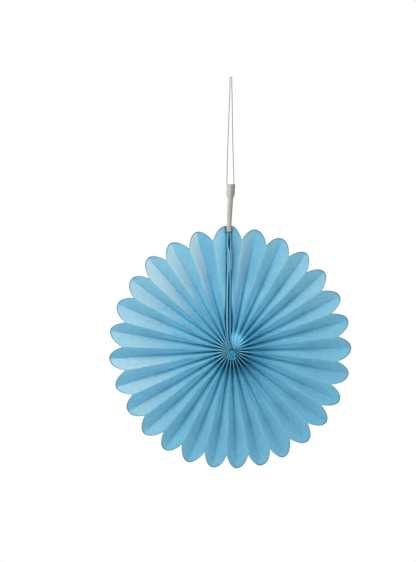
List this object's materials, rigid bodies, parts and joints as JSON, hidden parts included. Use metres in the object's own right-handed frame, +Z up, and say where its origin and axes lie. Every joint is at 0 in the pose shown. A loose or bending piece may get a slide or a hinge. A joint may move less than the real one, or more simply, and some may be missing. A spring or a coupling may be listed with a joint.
{
  "type": "pleated paper fan rosette",
  "caption": "Pleated tissue-paper fan opened to a full disc with rounded petal tips, on a folded tab and a long thread loop for hanging.",
  "frame": {"origin": "the point of the thread loop that bears on the pin or hook it hangs from", "axes": "+Z up towards the hanging point, the disc in the XZ plane, its front faces -Y"},
  "size_m": [0.2494, 0.0173, 0.4025],
  "materials": {
    "tissue": "matte",
    "card": "matte",
    "adhesive": "matte",
    "core": "matte",
    "tape": "matte",
    "thread": "matte"
  },
  "bodies": {
    "root": {"pleated_fan": "tissue", "end_card_left": "card", "end_card_right": "card", "seam_pad": "adhesive", "hub_core": "core", "hanging_tab": "tape", "hanging_string": "thread"}
  },
  "joints": []
}
